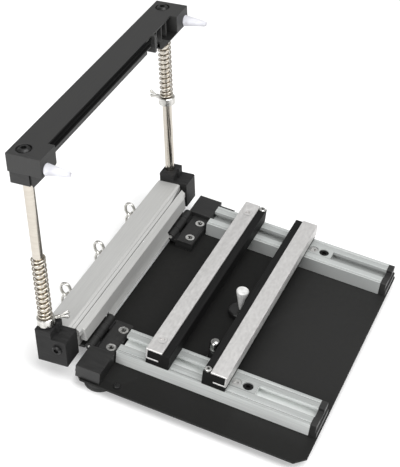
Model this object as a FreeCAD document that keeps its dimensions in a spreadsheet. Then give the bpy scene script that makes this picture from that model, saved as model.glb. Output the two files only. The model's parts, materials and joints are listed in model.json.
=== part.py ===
import FreeCAD, Part
import math
import os
import re
import Sketcher

# Manual stencil printer
# A black base plate on four rubber feet carries two slotted aluminium rails and two cross bars
# that hold a circuit board. Behind the rails a frame swings on two hinges: a clamp at its foot,
# two rods, and a sprung upper bar at its head.
# X runs from the left rail to the right rail, Y from the front edge to the hinges, Z up.
# The origin lies on the table, under the middle of the space that the machine takes up with
# its frame open. Lengths are in millimetres and angles in degrees.

doc = FreeCAD.newDocument("StencilPrinter")
sheet = doc.addObject("Spreadsheet::Sheet", "Dims")
Vector = FreeCAD.Vector
Rotation = FreeCAD.Rotation

# The driving sizes, each written once
sizes = {
    # Base plate and feet
    "PlateWidth": 243,
    "PlateDepth": 189.4,
    "PlateFront": 122.4,
    "PlateThick": 2,
    "PlateCorner": 8,
    "FootRadius": 12,
    "FootHeight": 8,
    "FootEdge": 1,
    "RearFootInset": 13.5,
    "RearFootSetback": 18.4,
    "FrontFootInset": 31.5,
    "FrontFootSetback": 27,
    # Rails
    "RailSpread": 177.3,
    "RailShift": 9.8,
    "RailWidth": 27.2,
    "RailHeight": 12.6,
    "RailLength": 158.5,
    "RailSetback": 7,
    "SlotWidth": 10.4,
    "LipThick": 3,
    "SlotInner": 17,
    "SlotInnerHeight": 4.2,
    "GrooveInset": 2.6,
    "GrooveWidth": 0.45,
    "GrooveDepth": 1.2,
    "CapThick": 5,
    "CapStep": 1.2,
    "CapStepHeight": 6,
    # Blocks behind the rails
    "CornerInner": 95,
    "CornerReach": 7.95,
    "CornerDepth": 20.6,
    "CornerHeight": 11.6,
    "ArmThick": 3,
    "ArmLength": 14.5,
    "PartGap": 0.1,
    # Hinges
    "AxisInset": 2.35,
    "AxisHeight": 8.3,
    "HingeOuter": 95,
    "HingeWidth": 38,
    "LeafHeight": 8,
    "LeafDepth": 15.8,
    "LeafSetback": 1.2,
    "LeafBevel": 1.2,
    "KnuckleRadius": 3.7,
    "KnuckleWidth": 11,
    "KnuckleGap": 0.3,
    "WebTop": 7,
    "WebBottom": 4.6,
    "PinRadius": 1.5,
    "PinFit": 0.05,
    "MovingLeafThick": 2.5,
    "MovingLeafDepth": 26,
    "MovingLeafStart": 4.4,
    # Countersunk screws, four millimetre thread
    "SunkHeadRadius": 3.9,
    "SunkHeadDepth": 2,
    "ShankRadius": 2,
    "HoleFit": 0.2,
    "HeadFit": 0.06,
    "HexRadius": 2.25,
    "HexDepth": 1.5,
    "LeafScrewPitch": 21.6,
    "LeafScrewSetback": 5.6,
    # Swing frame: local Y is back from the hinge axis, local Z is up along the rods
    "LeanAngle": 7.46,
    "RodOffset": 113,
    "RodBack": 24.35,
    "RodRadius": 4,
    "RodFoot": 4,
    "RodTop": 184.5,
    "RodBevel": 0.6,
    "SlideFit": 0.06,
    # Lower blocks of the swing frame
    "BlockInset": 10,
    "BlockReach": 8.5,
    "BlockFront": 4.6,
    "BlockRear": 30,
    "TowerFront": 16.5,
    "TowerTop": 30.2,
    "ShoulderTop": 23.4,
    "ShoulderBevel": 0.9,
    "TabWidth": 2.4,
    "TabThick": 2,
    "TabTop": 32.9,
    "TabOffset": 111.5,
    "TabFront": 14.5,
    "SideScrewBack": 12,
    "SideScrewUp": 15.5,
    "SideScrewLength": 28,
    "ButtonRadius": 3.8,
    "ButtonHeight": 2.2,
    "ButtonBevel": 0.8,
    # Stencil clamp between the lower blocks
    "ClampRear": 31,
    "ClampFront": 8,
    "ClampTop": 22.4,
    "ClampRidge": 12.4,
    "CrestWidth": 2.1,
    "CrestDrop": 0.9,
    "CrestStep": 0.5,
    "WedgeLength": 25,
    "WedgeWidth": 2.6,
    "WedgeDepth": 12,
    "ClampNose": 20.1,
    "JawInset": 13.6,
    "JawNotch": 94.5,
    "JawNotchTop": 13,
    "JawEndFront": 4.3,
    "JawBack": 7.4,
    "JawRidgeFront": 2.7,
    "JawRidgeUp": 15.7,
    "JawFootFront": 2,
    "JawFootUp": 4.9,
    "LipHalfWidth": 56.4,
    "LipBottom": 0.4,
    "WingPitch": 58.5,
    "WingUp": 12.5,
    "WingShank": 2.5,
    "WingTip": 5.2,
    "WingHubRadius": 4.6,
    "WingHubLength": 6.5,
    "WingNeckRadius": 3.6,
    "PetalBack": 38.2,
    "PetalRadius": 5.4,
    "PetalHalfLength": 1.5,
    "PetalRise": 6,
    "PetalEye": 3,
    "PetalThick": 2.8,
    # Sprung upper bar
    "UpperTop": 186.5,
    "UpperThick": 14.8,
    "UpperRear": 33.8,
    "UpperEndReach": 9.5,
    "UpperEndFront": 6.5,
    "UpperMidFront": 12,
    "UpperEndInset": 11.5,
    "StripFront": 9,
    "StripBack": 10.6,
    "StripHeight": 5,
    "StripFlute": 0.5,
    "SeatFront": 9,
    "SeatThick": 1.3,
    "RebateFront": 14,
    "StripEnd": 58,
    "RecessStart": 61,
    "RecessBack": 18.5,
    "RecessRoof": 1.6,
    "RibFirst": 65,
    "RibPitch": 9,
    "RibWidth": 1.6,
    "CounterRadius": 5.8,
    "GuideOuterStep": 0.8,
    "GuideInset": 25,
    "GuideHeight": 9.7,
    "GuideFront": 7,
    "GuideFoot": 14.6,
    "GuideRear": 33,
    "GuideNose": 0.8,
    "GuideSlotBack": 15.6,
    "GuideSlotWidth": 1.8,
    "GuideSlotDepth": 1.4,
    "GuidePocketDepth": 4,
    "GuidePocketWidth": 5.6,
    "GuideRib": 1.6,
    "TopHeadRadius": 4.75,
    "TopHeadHeight": 2.8,
    "TopHeadBevel": 1.3,
    "TopShankRadius": 2.5,
    "TopShankLength": 10,
    "ConeReach": 3.4,
    "ConeUp": 176,
    "ConeBase": 4.5,
    "ConeTip": 1.8,
    "ConeLength": 19,
    "ConeRound": 0.7,
    # Collars and springs on the rods
    "CollarRadius": 7,
    "CollarHeight": 7,
    "CollarLeftUp": 31,
    "CollarRightUp": 96.8,
    "CollarLeftTurn": -48,
    "CollarRightTurn": 75,
    "ThumbShank": 1.6,
    "ThumbHubRadius": 1.9,
    "ThumbHubEnd": 11,
    "ThumbReach": 19.5,
    "ThumbSpread": 4.5,
    "ThumbThick": 1.6,
    "SpringMean": 5.05,
    "SpringWire": 0.7,
    "SpringPitch": 4.45,
    "SpringLeftHeight": 55.5,
    "SpringRightGap": 0.3,
    # Cross bars that hold the board
    "BarOverhang": 0.6,
    "BarDepth": 13.4,
    "BarTop": 14.9,
    "BarBase": 4.3,
    "BarWall": 1.6,
    "BarFlange": 10.9,
    "LedgeWidth": 6.2,
    "FrontBarSetback": 74.75,
    "RearBarSetback": 141.25,
    "BarGap": 0.1,
    "KeyLength": 38,
    "KeyReach": 20.2,
    "KeyFit": 0.1,
    "LockHeadRadius": 4.1,
    "LockHeadDepth": 3,
    "LockSink": 0.6,
    "LockFirst": 7.2,
    "LockPitch": 9.4,
    "LockLength": 3,
    "NutLength": 16,
    "BarScrewInset": 7.2,
    "PinHeadRadius": 2.8,
    "PinHeadHeight": 1.8,
    "PinShank": 1.5,
    "PinShankLength": 6,
    "PinInset": 3,
    # Magnetic board supports on the plate
    "MagnetRadius": 9,
    "MagnetHeight": 5,
    "MagnetBevel": 0.8,
    "TaperX": 5.2,
    "TaperGap": 1.75,
    "TaperTopRadius": 5.2,
    "TaperFootRadius": 0.8,
    "TaperCrown": 1.2,
    "DomeRailGap": 0.75,
    "DomeGap": 0.05,
    "DomeRadius": 4.2,
    "DomeCrown": 2.4,
    "SmallMagnetRadius": 6.5,
    # Small screw on the plate
    "PlateScrewInset": 6.5,
    "PlateScrewSetback": 153.1,
    "PlateScrewRadius": 2.6,
    "PlateScrewHeight": 1.4,
}
for row, (name, number) in enumerate(sizes.items(), 1):
    sheet.set("A%d" % row, name)
    sheet.set("B%d" % row, str(number))
    sheet.setAlias("B%d" % row, name)
doc.recompute()

# Places worked out from the sizes
plate_top = "(FootHeight + PlateThick)"
rail_top = "(FootHeight + PlateThick + RailHeight)"
rail_front = "(RailSetback - PlateFront)"
rail_rear = "(RailSetback - PlateFront + RailLength)"
rail_x = {"left": "(RailShift - RailSpread / 2)", "right": "(RailShift + RailSpread / 2)"}
corner_side = "(%s + RailWidth / 2 + CornerReach)" % rail_x["right"]
axis_y = "(PlateDepth - PlateFront - AxisInset)"
axis_z = "(FootHeight + PlateThick + AxisHeight)"
bar_left = "(RailShift - RailSpread / 2 - RailWidth / 2 - BarOverhang)"
bar_length = "(RailSpread + RailWidth + 2 * BarOverhang)"
upper_bottom = "(UpperTop - UpperThick)"
hinge_inner = "(HingeOuter - HingeWidth)"
sign = {"left": "-1", "right": "1"}
SIDES = ("left", "right")


def bound(text):
    """Point each size name of an expression at its cell in the sheet."""
    return re.sub(r"\b([A-Z][A-Za-z]+)\b", r"Dims.\1", text)


def number(text):
    """Return the present value of an expression."""
    return float(sheet.evalExpression(text))


def start(side, inner, outer):
    """Return the lower X of a span that runs from inner to outer on one side."""
    if side == "left":
        return "-(%s)" % outer
    return inner


def new_body(label):
    """Add an empty body that carries the label of its piece."""
    body = doc.addObject("PartDesign::Body", "Body_" + label)
    body.Label = label
    return body


def new_sketch(body, plane, offset="0", along="0", across="0"):
    """Add a sketch on one of the body's own planes, moved by three distances."""
    sketch = body.newObject("Sketcher::SketchObject", "Sketch")
    role = [part for part in body.Origin.OriginFeatures if part.Role == plane]
    sketch.AttachmentSupport = (role[0], [""])
    sketch.MapMode = "FlatFace"
    sketch.setExpression("AttachmentOffset.Base.x", bound(along))
    sketch.setExpression("AttachmentOffset.Base.y", bound(across))
    sketch.setExpression("AttachmentOffset.Base.z", bound(offset))
    return sketch


def pin_point(sketch, item, corner, across, up):
    """Tie one point of the sketch to two expressions."""
    for kind, text in (("DistanceX", across), ("DistanceY", up)):
        rule = Sketcher.Constraint(kind, -1, 1, item, corner, number(text))
        place = sketch.addConstraint(rule)
        sketch.setExpression("Constraints[%d]" % place, bound(text))


def outline(sketch, points):
    """Draw a closed outline of straight lines through the points."""
    first = sketch.GeometryCount
    corners = [Vector(number(u), number(v), 0) for u, v in points]
    count = len(corners)
    lines = [Part.LineSegment(corners[i], corners[(i + 1) % count]) for i in range(count)]
    sketch.addGeometry(lines, False)
    for i in range(count):
        rule = Sketcher.Constraint("Coincident", first + i, 2, first + (i + 1) % count, 1)
        sketch.addConstraint(rule)
    for i, (u, v) in enumerate(points):
        pin_point(sketch, first + i, 1, u, v)


def circle(sketch, u, v, radius):
    """Draw a circle whose centre and radius follow expressions."""
    item = sketch.GeometryCount
    centre = Vector(number(u), number(v), 0)
    sketch.addGeometry(Part.Circle(centre, Vector(0, 0, 1), number(radius)), False)
    pin_point(sketch, item, 3, u, v)
    place = sketch.addConstraint(Sketcher.Constraint("Radius", item, number(radius)))
    sketch.setExpression("Constraints[%d]" % place, bound(radius))


def oblong(sketch, u, low, high, radius):
    """Draw an upright oblong between two centres."""
    item = sketch.GeometryCount
    across = number(u)
    wide = number(radius)
    bottom = number(low)
    top = number(high)
    upper = Part.Circle(Vector(across, top, 0), Vector(0, 0, 1), wide)
    lower = Part.Circle(Vector(across, bottom, 0), Vector(0, 0, 1), wide)
    left = Part.LineSegment(Vector(across - wide, top, 0), Vector(across - wide, bottom, 0))
    right = Part.LineSegment(Vector(across + wide, bottom, 0), Vector(across + wide, top, 0))
    arcs = [
        Part.ArcOfCircle(upper, 0, math.pi),
        left,
        Part.ArcOfCircle(lower, math.pi, 2 * math.pi),
        right,
    ]
    sketch.addGeometry(arcs, False)
    for i in range(4):
        rule = Sketcher.Constraint("Tangent", item + i, 2, item + (i + 1) % 4, 1)
        sketch.addConstraint(rule)
    pin_point(sketch, item, 3, u, high)
    pin_point(sketch, item + 2, 3, u, low)
    sketch.addConstraint(Sketcher.Constraint("Equal", item, item + 2))
    place = sketch.addConstraint(Sketcher.Constraint("Radius", item, wide))
    sketch.setExpression("Constraints[%d]" % place, bound(radius))


def pad(body, sketch, length, both_ways=False):
    """Push a sketch out along its normal."""
    feature = body.newObject("PartDesign::Pad", "Pad")
    feature.Profile = sketch
    feature.setExpression("Length", bound(length))
    if both_ways:
        feature.SideType = "Symmetric"
    doc.recompute()
    return feature


def pocket(body, sketch, length="", reverse=False):
    """Cut a sketch into the body, through all of it where no length is given."""
    before = body.Shape.Volume
    feature = body.newObject("PartDesign::Pocket", "Pocket")
    feature.Profile = sketch
    feature.Reversed = reverse
    if length:
        feature.setExpression("Length", bound(length))
    else:
        feature.Type = "ThroughAll"
        feature.SideType = "Two sides"
        feature.Type2 = "ThroughAll"
    doc.recompute()
    if not body.Shape.Volume < before:
        raise ValueError("nothing cut in " + body.Label)


def revolve(body, sketch, axis="V_Axis"):
    """Turn a half outline about one axis of its sketch."""
    feature = body.newObject("PartDesign::Revolution", "Revolution")
    feature.Profile = sketch
    feature.ReferenceAxis = (sketch, [axis])
    feature.Angle = 360
    doc.recompute()


def groove(body, sketch, axis="V_Axis"):
    """Cut the solid that a half outline sweeps about one axis of its sketch."""
    before = body.Shape.Volume
    feature = body.newObject("PartDesign::Groove", "Groove")
    feature.Profile = sketch
    feature.ReferenceAxis = (sketch, [axis])
    feature.Angle = 360
    doc.recompute()
    if not body.Shape.Volume < before:
        raise ValueError("nothing turned out of " + body.Label)


def prism(label, plane, offset, length, points):
    """Make a body from one outline pushed out along its normal."""
    body = new_body(label)
    sketch = new_sketch(body, plane, offset)
    outline(sketch, points)
    pad(body, sketch, length)
    return body


def add_prism(body, plane, offset, length, points):
    """Add a further outline to a body."""
    sketch = new_sketch(body, plane, offset)
    outline(sketch, points)
    pad(body, sketch, length)


def turned(label, points):
    """Make a body from a half outline of radius and height about its own Z axis."""
    body = new_body(label)
    sketch = new_sketch(body, "XZ_Plane")
    outline(sketch, points)
    revolve(body, sketch)
    return body


def bore(body, plane, offset, u, v, radius, depth="", reverse=False):
    """Cut a round hole."""
    sketch = new_sketch(body, plane, offset)
    circle(sketch, u, v, radius)
    pocket(body, sketch, depth, reverse)


def hex_socket(body, top, radius="HexRadius", depth="HexDepth"):
    """Sink a hexagon into the top of a screw that stands on its own Z axis."""
    sketch = new_sketch(body, "XY_Plane", top)
    points = []
    for i in range(6):
        points.append(("%s * cos(%d)" % (radius, 60 * i), "%s * sin(%d)" % (radius, 60 * i)))
    outline(sketch, points)
    pocket(body, sketch, depth)


def countersink(body, x, y, top, bottom):
    """Cut a countersunk hole straight down."""
    sketch = new_sketch(body, "XZ_Plane", "-(%s)" % y, x)
    wide = "SunkHeadRadius + HeadFit"
    shank = "ShankRadius + HoleFit"
    points = [
        ("0", bottom),
        (shank, bottom),
        (shank, "%s - SunkHeadDepth" % top),
        (wide, top),
        ("0", top),
    ]
    outline(sketch, points)
    groove(body, sketch)


def sunk_screw(label, length):
    """Make a countersunk screw whose head top is its origin."""
    points = [
        ("0", "-(%s)" % length),
        ("ShankRadius", "-(%s)" % length),
        ("ShankRadius", "-SunkHeadDepth"),
        ("SunkHeadRadius", "0"),
        ("0", "0"),
    ]
    body = turned(label, points)
    hex_socket(body, "0")
    return body


def button_screw(label, shank, length, head, height, bevel):
    """Make a button head screw whose seat is its origin."""
    points = [
        ("0", "-(%s)" % length),
        (shank, "-(%s)" % length),
        (shank, "0"),
        (head, "0"),
        (head, "%s - %s" % (height, bevel)),
        ("%s - %s" % (head, bevel), height),
        ("0", height),
    ]
    return turned(label, points)


def join(label, bodies):
    """Hold like screws of one place together as one piece."""
    group = doc.addObject("Part::Compound", "Group_" + label)
    group.Label = label
    group.Links = bodies


def seat(body, x, y, z, turn=None):
    """Place a piece of the base."""
    if turn is not None:
        body.Placement = FreeCAD.Placement(Vector(), turn)
    body.setExpression("Placement.Base.x", bound(x))
    body.setExpression("Placement.Base.y", bound(y))
    body.setExpression("Placement.Base.z", bound(z))
    return body


def hang(body, x="0", back="0", up="0", turn=None):
    """Place a piece of the swing frame by its distances from the hinge axis."""
    lean = Rotation(Vector(1, 0, 0), -number("LeanAngle"))
    if turn is not None:
        lean = lean.multiply(turn)
    body.Placement = FreeCAD.Placement(Vector(), lean)
    y = "%s + (%s) * cos(LeanAngle) + (%s) * sin(LeanAngle)" % (axis_y, back, up)
    z = "%s - (%s) * sin(LeanAngle) + (%s) * cos(LeanAngle)" % (axis_z, back, up)
    body.setExpression("Placement.Base.x", bound(x))
    body.setExpression("Placement.Base.y", bound(y))
    body.setExpression("Placement.Base.z", bound(z))
    return body


def base_plate():
    """Make the plate with its four cut corners."""
    half_w = "PlateWidth / 2"
    rear = "PlateDepth - PlateFront"
    points = [
        (half_w + " - PlateCorner", "-PlateFront"),
        (half_w, "PlateCorner - PlateFront"),
        (half_w, rear + " - PlateCorner"),
        (half_w + " - PlateCorner", rear),
        ("-(%s - PlateCorner)" % half_w, rear),
        ("-" + half_w, rear + " - PlateCorner"),
        ("-" + half_w, "PlateCorner - PlateFront"),
        ("-(%s - PlateCorner)" % half_w, "-PlateFront"),
    ]
    prism("base_plate", "XY_Plane", "FootHeight", "PlateThick", points)


def feet():
    """Turn the four rubber feet."""
    points = [
        ("0", "0"),
        ("FootRadius - FootEdge", "0"),
        ("FootRadius", "FootEdge"),
        ("FootRadius - FootEdge / 2", "FootHeight"),
        ("0", "FootHeight"),
    ]
    rows = {
        "front": ("FrontFootInset", "FrontFootSetback - PlateFront"),
        "rear": ("RearFootInset", "PlateDepth - PlateFront - RearFootSetback"),
    }
    for end, (inset, y) in rows.items():
        for side in SIDES:
            foot = turned("foot_%s_%s" % (end, side), points)
            seat(foot, "%s * (PlateWidth / 2 - %s)" % (sign[side], inset), y, "0")


def plate_screw():
    """Set the small dark screw beside the left rail."""
    length = "PlateThick / 2"
    y = "PlateScrewSetback - PlateFront"
    screw = button_screw("plate_screw", "PlateScrewRadius / 2", length, "PlateScrewRadius",
                         "PlateScrewHeight", "PlateScrewHeight / 3")
    x = "(PlateScrewInset - PlateWidth / 2)"
    seat(screw, x, y, plate_top)
    plate = doc.getObject("Body_base_plate")
    bore(plate, "XY_Plane", plate_top, x, y,
         "PlateScrewRadius / 2 + HeadFit", "PlateThick * 0.6")


def rail_outline(x):
    """Return the section of a rail about its centre line."""
    bottom = plate_top
    floor = "%s - LipThick - SlotInnerHeight" % rail_top
    under = "%s - LipThick" % rail_top
    groove_out = "(RailWidth / 2 - GrooveInset + GrooveWidth)"
    groove_mid = "(RailWidth / 2 - GrooveInset)"
    groove_in = "(RailWidth / 2 - GrooveInset - GrooveWidth)"
    half = [
        ("RailWidth / 2", bottom),
        ("RailWidth / 2", rail_top),
        (groove_out, rail_top),
        (groove_mid, "%s - GrooveDepth" % rail_top),
        (groove_in, rail_top),
        ("SlotWidth / 2", rail_top),
        ("SlotWidth / 2", under),
        ("SlotInner / 2", under),
        ("SlotInner / 2", floor),
    ]
    right = [("%s + %s" % (x, u), v) for u, v in half]
    left = [("%s - %s" % (x, u), v) for u, v in reversed(half)]
    return right + left


def rails():
    """Extrude both slotted rails and close their front ends with stepped caps."""
    for side in SIDES:
        x = rail_x[side]
        prism("rail_" + side, "XZ_Plane", "-" + rail_rear, "RailLength", rail_outline(x))
        notch = "%s - LipThick" % rail_top
        points = [
            (x + " - RailWidth / 2", plate_top),
            (x + " + RailWidth / 2", plate_top),
            (x + " + RailWidth / 2", rail_top),
            (x + " + SlotWidth / 2", rail_top),
            (x + " + SlotWidth / 2", notch),
            (x + " - SlotWidth / 2", notch),
            (x + " - SlotWidth / 2", rail_top),
            (x + " - RailWidth / 2", rail_top),
        ]
        cap = prism("rail_cap_" + side, "XZ_Plane", "-" + rail_front, "CapThick", points)
        step = [
            (x + " - RailWidth / 2", plate_top),
            (x + " + RailWidth / 2", plate_top),
            (x + " + RailWidth / 2", plate_top + " + CapStepHeight"),
            (x + " - RailWidth / 2", plate_top + " + CapStepHeight"),
        ]
        add_prism(cap, "XZ_Plane", "-%s + CapThick" % rail_front, "CapStep", step)


def corner_blocks():
    """Make the blocks behind the rails, the right one with an arm along its rail."""
    rear = "(%s + CornerDepth)" % rail_rear
    tip = "(%s - ArmLength)" % rail_rear
    far = "(%s + RailWidth / 2 + PartGap)" % rail_x["right"]
    left = [
        ("-" + corner_side, rail_rear),
        ("-CornerInner", rail_rear),
        ("-CornerInner", rear),
        ("-" + corner_side, rear),
    ]
    right = [
        ("CornerInner", rail_rear),
        (far, rail_rear),
        (far, tip),
        (far + " + ArmThick", tip),
        (far + " + ArmThick", rail_rear),
        (corner_side, rail_rear),
        (corner_side, rear),
        ("CornerInner", rear),
    ]
    prism("corner_block_left", "XY_Plane", plate_top, "CornerHeight", left)
    prism("corner_block_right", "XY_Plane", plate_top, "CornerHeight", right)


def fixed_leaf(side):
    """Make the hinge block that stays on the plate, with two knuckles."""
    front = "(%s + LeafSetback)" % rail_rear
    rear = "(%s + LeafSetback + LeafDepth)" % rail_rear
    top = "(%s + LeafHeight)" % plate_top
    x_low = start(side, hinge_inner, "HingeOuter")
    block = [
        (front, plate_top),
        (rear, plate_top),
        (rear, top + " - LeafBevel"),
        (rear + " - LeafBevel", top),
        (front + " + LeafBevel", top),
        (front, top + " - LeafBevel"),
    ]
    leaf = prism("hinge_fixed_leaf_" + side, "YZ_Plane", x_low, "HingeWidth", block)
    web = [
        (rear + " - LeafBevel", plate_top + " + WebBottom"),
        (axis_y, plate_top + " + WebBottom"),
        (axis_y, plate_top + " + WebTop"),
        (rear + " - LeafBevel", plate_top + " + WebTop"),
    ]
    for place in (x_low, "%s + HingeWidth - KnuckleWidth" % x_low):
        add_prism(leaf, "YZ_Plane", place, "KnuckleWidth", web)
        sketch = new_sketch(leaf, "YZ_Plane", place)
        circle(sketch, axis_y, axis_z, "KnuckleRadius")
        pad(leaf, sketch, "KnuckleWidth")
    bore(leaf, "YZ_Plane", x_low, axis_y, axis_z, "PinRadius + PinFit")
    middle = "%s * (HingeOuter - HingeWidth / 2)" % sign[side]
    screws = []
    for move in ("-", "+"):
        x = "%s %s LeafScrewPitch / 2" % (middle, move)
        y = front + " + LeafScrewSetback"
        countersink(leaf, x, y, top, plate_top)
        screws.append(seat(sunk_screw("hinge_screw", "LeafHeight"), x, y, top))
    join("hinge_screws_" + side, screws)


def moving_leaf(side):
    """Make the hinge leaf under the clamp, with one knuckle between the fixed two."""
    x_low = start(side, hinge_inner, "HingeOuter")
    low = "-MovingLeafThick"
    leaf = [
        ("MovingLeafStart", low),
        ("MovingLeafDepth", low),
        ("MovingLeafDepth", "0"),
        ("MovingLeafStart", "0"),
    ]
    body = prism("hinge_moving_leaf_" + side, "YZ_Plane", x_low + " + KnuckleGap",
                 "HingeWidth - 2 * KnuckleGap", leaf)
    neck = [("0", low), ("MovingLeafStart", low), ("MovingLeafStart", "0"), ("0", "0")]
    place = x_low + " + KnuckleWidth + KnuckleGap"
    width = "HingeWidth - 2 * KnuckleWidth - 2 * KnuckleGap"
    add_prism(body, "YZ_Plane", place, width, neck)
    sketch = new_sketch(body, "YZ_Plane", place)
    circle(sketch, "0", "0", "KnuckleRadius")
    pad(body, sketch, width)
    bore(body, "YZ_Plane", place, "0", "0", "PinRadius + PinFit")
    return hang(body)


def hinge_pin(side):
    """Make the pin through the three knuckles."""
    length = "HingeWidth - 2 * KnuckleGap"
    points = [
        ("0", "0"),
        ("PinRadius - PinFit", "0"),
        ("PinRadius", "PinFit * 4"),
        ("PinRadius", length + " - PinFit * 4"),
        ("PinRadius - PinFit", length),
        ("0", length),
    ]
    pin = turned("hinge_pin_" + side, points)
    x_low = start(side, hinge_inner, "HingeOuter")
    seat(pin, x_low + " + KnuckleGap", axis_y, axis_z, Rotation(Vector(0, 1, 0), 90))


def lower_block(side):
    """Make the block that holds the foot of one rod."""
    x_low = start(side, "(RodOffset - BlockInset)", "(RodOffset + BlockReach)")
    section = [
        ("BlockFront", "0"),
        ("BlockRear", "0"),
        ("BlockRear", "TowerTop"),
        ("TowerFront", "TowerTop"),
        ("TowerFront", "ShoulderTop"),
        ("BlockFront + ShoulderBevel", "ShoulderTop"),
        ("BlockFront", "ShoulderTop - ShoulderBevel"),
    ]
    block = prism("lower_block_" + side, "YZ_Plane", x_low, "BlockReach + BlockInset", section)
    tab = [
        ("TabFront", "ShoulderTop - ShoulderBevel"),
        ("TabFront + TabThick", "ShoulderTop - ShoulderBevel"),
        ("TabFront + TabThick", "TabTop"),
        ("TabFront", "TabTop"),
    ]
    tab_low = "%s * TabOffset - TabWidth / 2" % sign[side]
    add_prism(block, "YZ_Plane", tab_low, "TabWidth", tab)
    x = "%s * RodOffset" % sign[side]
    bore(block, "XY_Plane", "TowerTop", x, "RodBack", "RodRadius + PinFit",
         "TowerTop - RodFoot")
    bore(block, "YZ_Plane", x_low, "SideScrewBack", "SideScrewUp", "ShankRadius + HoleFit")
    hang(block)


def block_screws():
    """Make the two screws that hold the lower blocks to the ends of the clamp."""
    screws = []
    for side in SIDES:
        turn = Rotation(Vector(0, 1, 0), 90 * number(sign[side]))
        screw = button_screw("block_screw", "ShankRadius", "SideScrewLength",
                             "ButtonRadius", "ButtonHeight", "ButtonBevel")
        hex_socket(screw, "ButtonHeight")
        x = "%s * (RodOffset + BlockReach)" % sign[side]
        screws.append(hang(screw, x, "SideScrewBack", "SideScrewUp", turn))
    join("lower_block_screws", screws)


def clamp_rear_bar():
    """Make the aluminium bar of the stencil clamp."""
    section = [
        ("ClampFront", "0"),
        ("ClampRear", "0"),
        ("ClampRear", "ClampTop"),
        ("ClampRidge", "ClampTop"),
        ("ClampRidge - CrestWidth", "ClampTop - CrestDrop"),
        ("ClampRidge - CrestWidth", "ClampTop - CrestDrop - CrestStep"),
        ("ClampFront", "ClampNose"),
    ]
    bar = prism("clamp_rear_bar", "YZ_Plane", "-(RodOffset - BlockInset)",
                "2 * (RodOffset - BlockInset)", section)
    for place in ("-WingPitch", "0", "WingPitch"):
        bore(bar, "XZ_Plane", "0", place, "WingUp", "WingShank + HoleFit")
    wedge = new_sketch(bar, "XY_Plane", "ClampTop")
    outline(wedge, [
        ("RodOffset - BlockInset - WedgeLength", "ClampFront"),
        ("RodOffset - BlockInset + HoleFit", "ClampFront - HoleFit"),
        ("RodOffset - BlockInset + HoleFit", "ClampFront + WedgeWidth"),
    ])
    pocket(bar, wedge, "WedgeDepth")
    depth = "SideScrewLength - (BlockReach + BlockInset) + HoleFit"
    for side in SIDES:
        face = "%s * (RodOffset - BlockInset)" % sign[side]
        bore(bar, "YZ_Plane", face, "SideScrewBack", "SideScrewUp", "ShankRadius + HeadFit",
             depth, side == "left")
    hang(bar)


def clamp_front_jaw():
    """Make the jaw that the wing screws draw back against the bar."""
    end_up = ("(ClampNose - (ClampNose - JawRidgeUp) * (JawBack - JawEndFront)"
              " / (JawBack - JawRidgeFront))")
    upper = [
        ("JawEndFront", "JawNotchTop"),
        ("JawBack", "JawNotchTop"),
        ("JawBack", "ClampNose"),
        ("JawEndFront", end_up),
    ]
    middle = [
        ("JawFootFront", "JawFootUp"),
        ("JawBack", "JawFootUp"),
        ("JawBack", "ClampNose"),
        ("JawRidgeFront", "JawRidgeUp"),
    ]
    lip = [
        ("0", "LipBottom"),
        ("JawBack", "LipBottom"),
        ("JawBack", "JawFootUp"),
        ("JawFootFront", "JawFootUp"),
    ]
    jaw = prism("clamp_front_jaw", "YZ_Plane", "-(RodOffset - JawInset)",
                "2 * (RodOffset - JawInset)", upper)
    add_prism(jaw, "YZ_Plane", "-JawNotch", "2 * JawNotch", middle)
    add_prism(jaw, "YZ_Plane", "-LipHalfWidth", "2 * LipHalfWidth", lip)
    for place in ("-WingPitch", "0", "WingPitch"):
        bore(jaw, "XZ_Plane", "-JawBack", place, "WingUp", "WingShank + PinFit",
             "JawBack - WingTip + PinFit", True)
    hang(jaw)


def wing_screw(name, x):
    """Make a wing screw with two looped wings, lying back along the frame's local Y."""
    body = new_body("clamp_wing_screw_" + name)
    shank = new_sketch(body, "XY_Plane")
    outline(shank, [
        ("0", "WingTip"),
        ("WingShank", "WingTip"),
        ("WingShank", "ClampRear"),
        ("WingHubRadius", "ClampRear"),
        ("WingHubRadius", "ClampRear + WingHubLength / 3"),
        ("WingNeckRadius", "ClampRear + WingHubLength"),
        ("0", "ClampRear + WingHubLength"),
    ])
    revolve(body, shank)
    for way in ("", "-"):
        low = "%s(PetalRise - PetalHalfLength)" % way
        high = "%s(PetalRise + PetalHalfLength)" % way
        if way:
            low, high = high, low
        wing = new_sketch(body, "YZ_Plane")
        oblong(wing, "PetalBack", low, high, "PetalRadius")
        oblong(wing, "PetalBack", low, high, "PetalEye")
        pad(body, wing, "PetalThick", True)
    hang(body, x, "0", "WingUp")


def rod(side):
    """Make one guide rod with a tapped hole in its top."""
    length = "(RodTop - RodFoot)"
    points = [
        ("0", "0"),
        ("RodRadius - RodBevel", "0"),
        ("RodRadius", "RodBevel"),
        ("RodRadius", length + " - RodBevel"),
        ("RodRadius - RodBevel", length),
        ("0", length),
    ]
    body = turned("rod_" + side, points)
    bore(body, "XY_Plane", length, "0", "0", "TopShankRadius + PinFit",
         "TopShankLength + HoleFit")
    hang(body, "%s * RodOffset" % sign[side], "RodBack", "RodFoot")


def rod_screws():
    """Make the two screws whose heads stop the upper bar at the tops of the rods."""
    screws = []
    for side in SIDES:
        screw = button_screw("rod_screw", "TopShankRadius", "TopShankLength",
                             "TopHeadRadius", "TopHeadHeight", "TopHeadBevel")
        hex_socket(screw, "TopHeadHeight")
        screws.append(hang(screw, "%s * RodOffset" % sign[side], "RodBack", "RodTop"))
    join("rod_screws", screws)


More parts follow.
